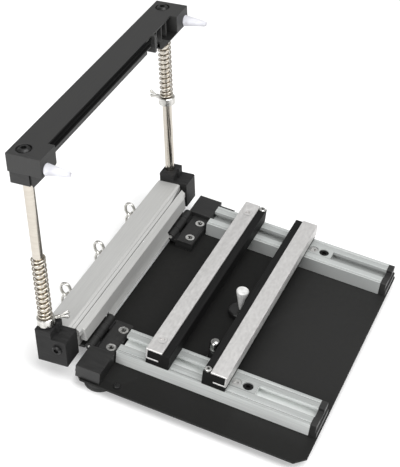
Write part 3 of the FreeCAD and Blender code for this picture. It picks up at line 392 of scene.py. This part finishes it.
def socket_shade_discs(node, body, radius, depth, finish):
    """A thin dark disc of painted shade on the floor of the socket of each upright screw in a
    group: a screw is what hangs together, and its floor lies at the given depth under its highest
    point."""
    whole = bmesh.new()
    whole.from_mesh(nodes[node].data)
    bmesh.ops.remove_doubles(whole, verts=whole.verts, dist=weld)
    left = set(whole.verts)
    floors = bmesh.new()
    for first in whole.verts:
        if first not in left:
            continue
        left.discard(first)
        shell = {first}
        edge = [first]
        while edge:
            for link in edge.pop().link_edges:
                for vert in link.verts:
                    if vert in left:
                        left.discard(vert)
                        shell.add(vert)
                        edge.append(vert)
        spots = np.array([vert.co for vert in shell])
        middle = (spots.min(axis=0) + spots.max(axis=0)) / 2
        place = Matrix.Translation((middle[0], middle[1], spots[:, 2].max() - depth))
        bmesh.ops.create_cone(
            floors, cap_ends=True, segments=20, radius1=radius, radius2=radius, depth=disc,
            matrix=place)
    mesh = bpy.data.meshes.new(node + "_sockets")
    floors.to_mesh(mesh)
    floors.free()
    whole.free()
    mesh.materials.append(finish)
    piece = bpy.data.objects.new(node + "_sockets", mesh)
    scene.collection.objects.link(piece)
    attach(piece, body)


shade, tree, shader = new_finish("socket_shade", (0.01, 0.01, 0.01), 0.0, 0.9)
tones(tree, shader, pattern(tree, 900), (0.008, 0.008, 0.008), (0.014, 0.014, 0.014))
shader.inputs["Specular IOR Level"].default_value = 0.1
for side in ("left", "right"):
    coat("hinge_pin_" + side, zinc)
    coat("hinge_screws_" + side, zinc)
    socket_shade_discs("hinge_screws_" + side, "base", radius=0.0019, depth=0.00144, finish=shade)

# The lower ends of the swinging frame are black milled blocks. Black cap screws hold them to
# the clamp bar and hold the rods, and the small screw in the plate is black too.
oxide, tree, shader = new_finish("black_oxide", (0.02, 0.02, 0.02), 0.6, 0.35)
tones(tree, shader, pattern(tree, 500), (0.014, 0.014, 0.014), (0.03, 0.03, 0.03))
dark_block, tree, shader = new_finish("dark_anodised", (0.01, 0.01, 0.01), 0.0, 0.5)
mill = pattern(tree, 70, (8, 1, 8), 3)
tones(tree, shader, mill, (0.016, 0.016, 0.016), (0.024, 0.024, 0.024))
polish(tree, shader, mill, 0.4, 0.55)
shader.inputs["Specular IOR Level"].default_value = 0.12
for side in ("left", "right"):
    eased("lower_%s_milled" % side, "lower_block_" + side, "swing_frame", dark_block,
          0.0004)
for node in ("lower_block_screws", "rod_screws", "plate_screw"):
    coat(node, oxide)

# The stencil clamp is two lengths of natural anodised extrusion: a rear bar and a front jaw that
# three wing screws draw against it.
clamp_metal, tree, shader = new_finish("clamp_extrusion", (0.56, 0.56, 0.55), 0.45, 0.5)
lines = pattern(tree, 60, (0.5, 30, 30), 4)
tones(tree, shader, lines, (0.52, 0.52, 0.51), (0.59, 0.59, 0.575), 0.3, 0.7)
polish(tree, shader, lines, 0.48, 0.54)
relief(tree, shader, pattern(tree, 900, (0.6, 1, 1)), 0.00002, 0.25)
eased("clamp_rear_extrusion", "clamp_rear_bar", "swing_frame", clamp_metal, 0.0004)
eased("clamp_jaw_extrusion", "clamp_front_jaw", "front_jaw", clamp_metal, 0.0005)

# Three wing screws stand behind the clamp: a turned shank and hub with two cast loops, in
# bright nickel.
hinge = next(joint for joint in frame["joints"] if joint["name"] == "frame_hinge")["pos_m"]
lean = math.radians(7.46)


def hung(points):
    """Carry points from the frame's own X, back and up, in metres, to where the frame stands,
    turned back about the hinge's axis by its lean."""
    across, along, up = points[..., 0], points[..., 1], points[..., 2]
    return np.stack([
        across,
        hinge[1] + along * math.cos(lean) + up * math.sin(lean),
        hinge[2] - along * math.sin(lean) + up * math.cos(lean),
    ], axis=-1)


def joined(name, meshes):
    """One mesh out of several closed ones."""
    whole = bmesh.new()
    for mesh in meshes:
        whole.from_mesh(mesh)
    mesh = bpy.data.meshes.new(name)
    whole.to_mesh(mesh)
    whole.free()
    mesh.shade_smooth()
    mesh.set_sharp_from_angle(angle=crease)
    return mesh


nickel, tree, shader = new_finish("bright_nickel", (0.62, 0.61, 0.58), 1.0, 0.22)
cast = pattern(tree, 260)
tones(tree, shader, cast, (0.48, 0.47, 0.44), (0.72, 0.71, 0.68))
polish(tree, shader, cast, 0.14, 0.3)
relief(tree, shader, pattern(tree, 600), 0.00006, 0.3)
shank_profile = [
    (1.6, 5.3), (2.3, 5.7), (2.5, 6.2), (2.5, 31.02), (4.3, 31.02), (4.6, 31.4), (4.6, 32.9),
    (4.3, 33.6), (3.7, 35.2), (3.6, 37.0), (3.2, 37.5), (1.0, 37.6),
]
wing_pitch = 58.5
wing_up = 12.5
loop_back = 38.2
loop_rise = 6
half_wide = 4.2
half_tall = 5.7
wire_deep = 1.2
wire_wide = 1.4
ring_count = 48
for side, across in (("left", -wing_pitch), ("centre", 0), ("right", wing_pitch)):
    shank = turned(shank_profile, (0, 0, 0), columns=40)
    shank = np.stack([shank[..., 0], shank[..., 2], -shank[..., 1]], axis=-1)
    parts = [shank]
    angle = np.linspace(0, 2 * math.pi, ring_count, endpoint=False)
    section = np.linspace(0, 2 * math.pi, 14, endpoint=False)
    for way in (1, -1):
        # A loop: an upright oval, a little fuller than an ellipse, 8.4 by 11.4 mm to the middle
        # of its wire. The section of the wire is an ellipse 2.4 mm deep and 2.8 mm wide.
        out = wire_deep * np.cos(section)[None, :]
        fuller = np.sign(np.cos(angle)) * np.abs(np.cos(angle)) ** 0.9
        along = loop_back + (half_wide + out) * fuller[:, None]
        up = way * loop_rise + (half_tall + out) * np.sin(angle)[:, None]
        thick = wire_wide * np.sin(section)[None, :] * np.ones((ring_count, 1))
        parts.append(np.stack([thick, along, up], axis=-1) / 1000)
    place = np.array([across, 0, wing_up]) / 1000
    meshes = [surface("part", hung(part + place), number > 0) for number, part in enumerate(parts)]
    name = "wing_%s_cast" % side
    finish_mesh(name, joined(name, meshes), "wing_" + side, nickel,
                ["clamp_wing_screw_" + side])

# Two guide rods of ground and plated steel rise from the lower blocks. They are nearly as
# bright as a mirror and a little warm in tone.
ground, tree, shader = new_finish("plated_rod", (0.6, 0.56, 0.49), 1.0, 0.14)
rings = pattern(tree, 90, (1, 1, 14), 3)
tones(tree, shader, rings, (0.54, 0.5, 0.44), (0.59, 0.55, 0.49))
polish(tree, shader, rings, 0.12, 0.17)
rod_across = 0.113
rod_back = 0.02435
rod_radius = 4.0
rod_foot = 4.0
rod_top = 184.5
rod_bevel = 0.6
end_ring = 0.8
rod_profile = [
    (end_ring, rod_foot), (rod_radius - rod_bevel, rod_foot), (rod_radius, rod_foot + rod_bevel),
    (rod_radius, rod_top - rod_bevel), (rod_radius - rod_bevel, rod_top), (end_ring, rod_top),
]
for side, way in (("left", -1), ("right", 1)):
    points = turned(rod_profile, (way * rod_across, rod_back, 0), columns=64)
    mesh = surface("rod_%s_ground" % side, hung(points))
    finish_mesh("rod_%s_ground" % side, mesh, "swing_frame", ground, ["rod_" + side])


# A turned stop collar with softened rims sits on each rod, and a thumb screw with two splayed
# wings locks it.
def carried(path, radius, flat=1.0, columns=16):
    """Points of a bar: an oval carried along a path in the XZ plane, its radius given at each
    point of the path. Its half width along Y is that radius times the flat share."""
    path = np.array(path) / 1000
    radius = np.array(radius) / 1000
    way = np.gradient(path, axis=0)
    way = way / np.linalg.norm(way, axis=1)[:, None]
    normal = np.stack([-way[:, 1], way[:, 0]], axis=1)
    angle = np.linspace(0, 2 * math.pi, columns, endpoint=False)
    out = radius[:, None] * np.cos(angle)[None, :]
    width = radius[:, None] * np.sin(angle)[None, :] * flat
    along = path[:, 0][:, None] + out * normal[:, 0][:, None]
    up = path[:, 1][:, None] + out * normal[:, 1][:, None]
    return np.stack([along, width, up], axis=-1)


ring_profile = [
    (4.06, 0.4), (4.4, 0.03), (6.4, 0.03), (7.0, 0.6), (7.0, 6.4), (6.4, 6.97), (4.4, 6.97),
    (4.06, 6.6),
]
collar_height = 7.0
collar_foot = {"left": 31.0, "right": 96.8}
paddle_foot = 9.6
paddle_reach = 8.6
paddle_gap = 0.4
paddle_spread = 2.1
for side, way, swing in (("left", -1, -48.0), ("right", 1, 75.0)):
    foot = collar_foot[side] / 1000
    ring = turned(ring_profile, (way * rod_across, rod_back, foot), columns=64)
    mesh = surface("collar_%s_turned" % side, hung(ring), looped=True)
    finish_mesh("collar_%s_turned" % side, mesh, "collar_" + side, nickel,
                ["collar_" + side])
    # The screw lies along X before it is turned: the shank, the hub, then two wings that start
    # inside the hub, bend away from each other and widen to rounded paddles.
    shank = carried(
        [(4.1, 0), (7.1, 0), (7.12, 0), (7.5, 0), (10.6, 0), (11.0, 0)],
        [1.55, 1.55, 1.6, 1.9, 1.9, 1.4])
    parts = [shank]
    for rise in (1, -1):
        step = np.linspace(0, 1, 16)
        path = np.stack([
            paddle_foot + paddle_reach * step,
            rise * (paddle_gap + paddle_spread * step ** 1.2),
        ], axis=1)
        radius = 0.75 + 1.2 * step ** 1.8
        radius[-3:] = (1.9, 1.6, 0.8)
        parts.append(carried(path, radius, 0.5))
    bend = math.radians(swing)
    meshes = []
    for part in parts:
        x, y = part[..., 0], part[..., 1]
        local = np.stack([
            x * math.cos(bend) - y * math.sin(bend) + way * rod_across,
            x * math.sin(bend) + y * math.cos(bend) + rod_back,
            part[..., 2] + foot + collar_height / 2000,
        ], axis=-1)
        meshes.append(surface("part", hung(local)))
    name = "thumb_%s_cast" % side
    finish_mesh(name, joined(name, meshes), "thumb_screw_" + side, nickel,
                ["collar_screw_" + side])

# A coil spring of plated wire stands on each collar. Its last turn at either end is wound close
# to the next and the coils between are open.
wire_metal, tree, shader = new_finish("spring_wire", (0.72, 0.67, 0.6), 1.0, 0.2)
drawn = pattern(tree, 300)
tones(tree, shader, drawn, (0.5, 0.46, 0.4), (0.66, 0.62, 0.55))
polish(tree, shader, drawn, 0.14, 0.28)
wire_radius = 0.7
coil_radius = 0.00505
open_pitch = 4.45
closed_share = 0.32
easing_turns = 1.3
steps_a_turn = 30
for side, way, tall in (("left", -1, 55.5), ("right", 1, 57.9)):
    foot = collar_foot[side] + collar_height
    turns = round((tall - 2 * wire_radius) / open_pitch) + 1
    step = np.linspace(0, 1, turns * steps_a_turn)
    turn_now = step * turns
    # The pitch is small over the first and the last turn and even between them.
    opening = np.clip(turn_now / easing_turns, 0, 1)
    closing = np.clip((turns - turn_now) / easing_turns, 0, 1)
    pitch = closed_share + (1 - closed_share) * (opening * closing) ** 2
    rise = np.concatenate([[0], np.cumsum((pitch[1:] + pitch[:-1]) / 2)])
    rise = (foot + wire_radius + rise / rise[-1] * (tall - 2 * wire_radius)) / 1000
    angle = 2 * math.pi * turn_now
    centre = np.stack([
        coil_radius * np.cos(angle) + way * rod_across,
        coil_radius * np.sin(angle) + rod_back,
        rise,
    ], axis=1)
    tangent = np.gradient(centre, axis=0)
    tangent = tangent / np.linalg.norm(tangent, axis=1)[:, None]
    outward = np.stack([np.cos(angle), np.sin(angle), np.zeros(len(angle))], axis=1)
    across = np.cross(tangent, outward)
    section = np.linspace(0, 2 * math.pi, 10, endpoint=False)
    points = centre[:, None, :] + wire_radius / 1000 * (
        np.cos(section)[None, :, None] * outward[:, None, :]
        + np.sin(section)[None, :, None] * across[:, None, :])
    mesh = surface("spring_%s_coil" % side, hung(points))
    spring = finish_mesh("spring_%s_coil" % side, mesh, "collar_" + side, wire_metal,
                         ["spring_" + side])
    if side == "right":
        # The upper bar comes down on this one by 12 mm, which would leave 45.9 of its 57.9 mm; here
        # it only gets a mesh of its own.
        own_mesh(spring)

# The upper bar is a black anodised extrusion with milled ends. A fluted strip is set into its
# front, painted near black for the shade that falls there, and the two guides under its ends run
# on the rods.
dark_bar, tree, shader = new_finish("black_anodised_bar", (0.03, 0.03, 0.029), 0.2, 0.5)
brush = pattern(tree, 60, (0.6, 24, 24), 3)
tones(tree, shader, brush, (0.022, 0.022, 0.022), (0.032, 0.032, 0.031), 0.3, 0.7)
polish(tree, shader, brush, 0.44, 0.58)
relief(tree, shader, brush, 0.00002, 0.2)
eased("upper_bar_milled", "upper_bar", "upper_bar", dark_bar, 0.0004)
# Painted shade: the strip is a darker copy of the bar's black, for the shade on the bar's front.
strip_painted_shade, tree, shader = new_finish("strip_black_painted_shade", (0.006, 0.006, 0.006), 0.0, 0.6)
tones(tree, shader, pattern(tree, 60, (0.6, 24, 24)), (0.003, 0.003, 0.003), (0.005, 0.005, 0.005))
shader.inputs["Specular IOR Level"].default_value = 0.02
eased("upper_strip_fluted", "upper_strip", "upper_bar", strip_painted_shade, 0.00015)
for side in ("left", "right"):
    eased("guide_%s_milled" % side, "upper_guide_" + side, "upper_bar", anodised,
          0.0003)

# A cone of milky plastic sits on the front of each end of the upper bar. It is moulded hollow
# at the tip.
milky, tree, shader = new_finish("milky_plastic", (0.9, 0.9, 0.91), 0.0, 0.3)
tones(tree, shader, pattern(tree, 160), (0.78, 0.78, 0.82), (0.86, 0.86, 0.9))
shader.inputs["Transmission Weight"].default_value = 0.5
shader.inputs["IOR"].default_value = 1.2
cone_profile = [
    (1.2, 0.02), (4.1, 0.02), (4.5, 0.5), (4.42, 1.4), (4.1, 3.0), (2.1, 17.6), (1.8, 18.6),
    (1.4, 19.0), (0.9, 19.0), (0.8, 18.6), (0.75, 14.0), (0.3, 13.6),
]
cone_across = 116.4
cone_base = 6.5
cone_up = 176
for side, way in (("left", -1), ("right", 1)):
    cone = turned(cone_profile, (0, 0, 0), columns=40)
    cone = np.stack([cone[..., 0], -cone[..., 2], cone[..., 1]], axis=-1)
    cone = cone + np.array([way * cone_across, cone_base, cone_up]) / 1000
    mesh = surface("cone_%s_moulded" % side, hung(cone))
    finish_mesh("cone_%s_moulded" % side, mesh, "upper_bar", milky,
                ["cone_foot_" + side])

# Two bars across the rails hold the circuit board: a silver channel folded over a black core
# with a stepped edge. Sliders in the rails lock the front one, each with one plated screw next to
# the bar and one black screw.
satin, tree, shader = new_finish("satin_channel", (0.7, 0.69, 0.68), 0.75, 0.48)
sheen = pattern(tree, 500, (0.5, 1, 1), 2)
tones(tree, shader, sheen, (0.66, 0.65, 0.64), (0.74, 0.73, 0.72), 0.3, 0.7)
polish(tree, shader, sheen, 0.42, 0.54)
relief(tree, shader, sheen, 0.00003, 0.25)
core, tree, shader = new_finish("black_core", (0.006, 0.006, 0.006), 0.0, 0.6)
tones(tree, shader, pattern(tree, 60, (0.6, 24, 24)), (0.005, 0.005, 0.005), (0.009, 0.009, 0.009))
shader.inputs["Specular IOR Level"].default_value = 0.15
lock_metal, tree, shader = new_finish("lock_screw_metal", (0.5, 0.5, 0.49), 0.8, 0.35)
low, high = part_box("lock_screws_left")
middle = (low[1] + high[1]) / 2
border = 0.0002
plated = along_axis(tree, "Y", middle - border, middle + border)
tones(tree, shader, plated, (0.016, 0.016, 0.016), (0.6, 0.6, 0.59), 0.2, 0.8)
for end in ("front", "rear"):
    body = end + "_bar"
    eased(body + "_folded", body + "_channel", body, satin, 0.0005)
    eased(body + "_core", body + "_insert", body, core, 0.00025)
    coat(end + "_ledge_screw", zinc)
    # Each ledge screw's socket gets a disc of painted shade.
    socket_shade_discs(end + "_ledge_screw", body, radius=0.0011, depth=0.0008, finish=shade)
for side in ("left", "right"):
    # The keys and nuts carry the rails' finish and its painted light.
    coat("front_bar_key_" + side, rail_metal_painted_light[side])
    coat("rear_bar_nut_" + side, rail_metal_painted_light[side])
    coat("lock_screws_" + side, lock_metal)
coat("rear_bar_screws", satin)

# Magnetic supports stand on the plate under the board, with a black magnet each. A pale
# pillar that widens to a flat top stands on the right one, and a dark pin with a chromed round
# top on the left one.
lacquer, tree, shader = new_finish("black_lacquer", (0.02, 0.02, 0.02), 0.0, 0.3)
tones(tree, shader, pattern(tree, 200), (0.008, 0.008, 0.008), (0.014, 0.014, 0.014))
pale, tree, shader = new_finish("pale_pillar", (0.7, 0.7, 0.69), 0.2, 0.4)
tones(tree, shader, pattern(tree, 260), (0.6, 0.6, 0.59), (0.78, 0.78, 0.77))
chromed, tree, shader = new_finish("chromed_top", (0.8, 0.8, 0.78), 1.0, 0.16)
chrome_from = 0.0272
chrome_full = 0.0277
rise = along_axis(tree, "Z", chrome_from, chrome_full)
tree.links.new(rise, shader.inputs["Metallic"])
tones(tree, shader, rise, (0.012, 0.012, 0.012), (0.36, 0.36, 0.35), 0.2, 0.8)
for side, foot, top, finish in (
    ("right", 0.8, [(5.2, -1.4), (5.0, -0.5), (4.4, 0.0), (0.8, 0.0)], pale),
    ("left", 4.2, [(4.2, -2.6), (3.95, -1.9), (3.2, -0.9), (1.9, -0.25), (0.5, 0.0)], chromed),
):
    coat("magnet_" + side, lacquer)
    low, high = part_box("support_post_" + side)
    tall = (high[2] - low[2]) * 1000
    profile = [(foot * 0.4, 0.0), (foot * 0.9, 0.0), (foot, 0.3)]
    profile += [(radius, tall + drop) for radius, drop in top]
    centre = ((low[0] + high[0]) / 2, (low[1] + high[1]) / 2, low[2])
    mesh = surface("pillar_" + side, turned(profile, centre, columns=40))
    finish_mesh("pillar_" + side, mesh, "post_" + side, finish,
                ["support_post_" + side])
